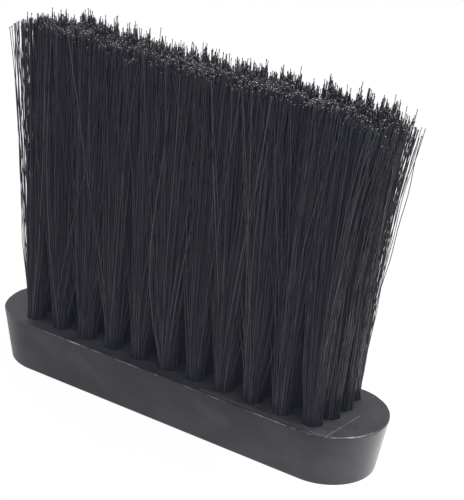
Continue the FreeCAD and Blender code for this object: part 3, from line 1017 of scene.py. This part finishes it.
def outside_radius(z):
    """The insert's radius at this height: knurled, with a groove and bevelled ends."""
    from_end = min(z, INSERT_LENGTH - z)
    if GROOVE_LOW < z < GROOVE_HIGH:
        return GROOVE_RADIUS
    if from_end < 0.4 * MM:
        return INSERT_RADIUS - INSERT_BEVEL + from_end
    twist = z * KNURL_TWIST
    right = np.abs(np.sin(KNURLS * INSERT_TURN + twist))
    left = np.abs(np.sin(KNURLS * INSERT_TURN - twist))
    return INSERT_RADIUS - KNURL_DEPTH * (1 - right * left)


def knurled_outside(shell):
    """The insert's outside. Gives its lowest and highest rings."""
    heights = [0.0, INSERT_BEVEL]
    heights += list(np.linspace(2 * INSERT_BEVEL, GROOVE_LOW, 9))
    heights += [GROOVE_LOW + GROOVE_WALL, GROOVE_HIGH - GROOVE_WALL]
    heights += list(np.linspace(GROOVE_HIGH, INSERT_LENGTH - 2 * INSERT_BEVEL, 9))
    heights += [INSERT_LENGTH - INSERT_BEVEL, INSERT_LENGTH]
    rings = [insert_ring(shell, outside_radius(z), z) for z in heights]
    shell.stack(rings)
    return rings[0], rings[-1]


def make_insert():
    """The brass insert, with its M8 thread cut as a helix and a knurled outside."""
    shell = Shell()
    bore_low, bore_high = thread_bore(shell)
    outer_low, outer_high = knurled_outside(shell)
    shell.join(bore_low, outer_low)
    shell.join(outer_high, bore_high)
    insert = shell.build("threaded_insert", INSERT_SHARP)
    insert.data.materials.append(brass_material())
    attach(insert, "root")
    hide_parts("handle_insert")


def dress_anchors():
    """Drawn steel on the anchors, which keep their CAD shape."""
    mesh = NODES["tuft_anchors"].data
    mesh.materials.clear()
    mesh.materials.append(steel_material())


# ---- camera, floor and light

CAMERA_AZIMUTH, CAMERA_ELEVATION, CAMERA_ROLL = 33.33, 22.71, 4.31  # degrees
CAMERA_TARGET = (15.557 * MM, 0.0, 66.90 * MM)
CAMERA_DISTANCE = 606.5 * MM
CAMERA_LENS = 124.25  # millimetres, on a sensor 36 wide

FLOOR_SIZE = 8.0
FLOOR_POINTS = 64
FLOOR_DROP = 0.05 * MM
FLOOR_GREY = (0.3, 0.3, 0.3, 1.0)
FLOOR_GLOW = (0.42, 2.0)  # away from the pool of light, and in it
POOL = (122 * MM, 46 * MM, 0.0)  # behind the block's right end
POOL_REACH = (120 * MM, 25 * MM)  # where it starts, and where it is full
FLOOR_SHOWN = 1.08  # how white the camera sees the floor,
FLOOR_SHOWN_SHARE = 0.8  # and how much of what it sees is that white

WHITE = (1.0, 1.0, 1.0, 1.0)
BRIGHT_SIDE = (-0.33, 0.94, 0.35)  # direction that the surroundings are brightest in
SURROUNDINGS = (0.5, 0.88)
BACKGROUND_SHOWN = 1.06
AIM = (0.0, 0.0, 0.07)

# Name, place, size and watts of each soft box; all point at the middle of the brush.
SOFT_BOXES = [
    ("overhead", (0.25, -0.45, 0.9), 0.45, 3.0),
    ("side", (-0.9, -0.5, 0.45), 0.5, 2.5),
    ("rim", (0.95, -0.05, 0.15), 0.40, 3.0),
]
BLACK_LIFT = (0.0075, 0.0080, 0.0115)  # red, green and blue


def make_camera():
    """The photograph's viewpoint: from the front right, above, and tilted a little."""
    azimuth, elevation = math.radians(CAMERA_AZIMUTH), math.radians(CAMERA_ELEVATION)
    roll = math.radians(CAMERA_ROLL)
    flat = math.cos(elevation)
    back = Vector((math.sin(azimuth) * flat, -math.cos(azimuth) * flat, math.sin(elevation)))
    level = Vector((math.cos(azimuth), math.sin(azimuth), 0.0))
    above = back.cross(level)
    right = level * math.cos(roll) + above * math.sin(roll)
    up = above * math.cos(roll) - level * math.sin(roll)
    data = bpy.data.cameras.new("camera")
    data.sensor_width = 36.0
    data.lens = CAMERA_LENS
    data.clip_start = 0.01
    data.clip_end = 20.0
    camera = new_object("camera", data)
    place = Matrix((right, up, back)).transposed().to_4x4()
    place.translation = Vector(CAMERA_TARGET) + back * CAMERA_DISTANCE
    camera.matrix_world = place
    bpy.context.scene.camera = camera


def floor_material():
    """Nearly white to the camera. It lights the brush evenly, but for a brighter pool. It is
    clear from below, so that the underside can be looked at."""
    material, graph, shader = new_material("floor_white")
    apart = graph.vector("DISTANCE", "Value", graph.add("TexCoord", "Object"), POOL)
    glow = graph.remap(apart, POOL_REACH, FLOOR_GLOW, "SMOOTHSTEP")
    graph.feed(shader, {"Base Color": FLOOR_GREY, "Roughness": 0.9, "Specular IOR Level": 0.0})
    graph.feed(shader, {"Emission Color": WHITE, "Emission Strength": glow})
    white = graph.add("Emission", "Emission", {"Strength": FLOOR_SHOWN})
    share = graph.math("MULTIPLY", graph.add("LightPath", "Is Camera Ray"), FLOOR_SHOWN_SHARE)
    above = graph.add("MixShader", "Shader", {"Fac": share, 1: shader.outputs["BSDF"], 2: white})
    below = graph.add("BsdfTransparent", "BSDF")
    facing = graph.add("NewGeometry", "Backfacing")
    surface = graph.add("MixShader", "Shader", {"Fac": facing, 1: above, 2: below})
    graph.feed(graph.nodes["Material Output"], {"Surface": surface})
    return material


def make_floor():
    """A plain pale floor that hardly any shadow shows on."""
    mesh = bpy.data.meshes.new("floor")
    turns = [2 * math.pi * k / FLOOR_POINTS for k in range(FLOOR_POINTS)]
    rim = [(FLOOR_SIZE * math.cos(turn), FLOOR_SIZE * math.sin(turn), 0) for turn in turns]
    mesh.from_pydata(rim, [], [list(range(FLOOR_POINTS))])
    mesh.materials.append(floor_material())
    floor = new_object("floor", mesh)
    floor.location.z = -FLOOR_DROP


def make_surroundings():
    """Soft white surroundings, brighter behind and above the brush than in front of it, and
    plain white to the camera."""
    world = bpy.data.worlds.new("studio")
    bpy.context.scene.world = world
    world.use_nodes = True
    graph = Graph(world.node_tree)
    direction = graph.add("TexCoord", "Generated")
    towards = graph.vector("DOT_PRODUCT", "Value", direction, BRIGHT_SIDE)
    bright = graph.remap(towards, (-0.7, 0.8), SURROUNDINGS)
    seen = graph.add("LightPath", "Is Camera Ray")
    shown = {"Factor": seen, "A": bright, "B": BACKGROUND_SHOWN}
    strength = graph.add("Mix", "Result", shown, data_type="FLOAT")
    graph.feed(graph.nodes["Background"], {"Color": WHITE, "Strength": strength})


def make_soft_boxes():
    """Three soft boxes: overhead, at the left and low at the right."""
    for name, place, size, power in SOFT_BOXES:
        data = bpy.data.lights.new(name, "AREA")
        data.shape = "SQUARE"
        data.size = size
        data.energy = power
        light = new_object(name, data)
        light.location = place
        aim = Vector(AIM) - Vector(place)
        light.rotation_euler = aim.to_track_quat("-Z", "Y").to_euler()


def set_view():
    """The standard view, with a little veiling glare: the white surroundings lift the blacks
    towards blue."""
    view = bpy.context.scene.view_settings
    view.view_transform = "Standard"
    view.use_curve_mapping = True
    for channel, lift in zip(view.curve_mapping.curves, BLACK_LIFT):
        channel.points[0].location = (0.0, lift)
    view.curve_mapping.update()


set_view()
make_camera()
make_bristles()
make_block()
make_insert()
dress_anchors()
make_floor()
make_surroundings()
make_soft_boxes()
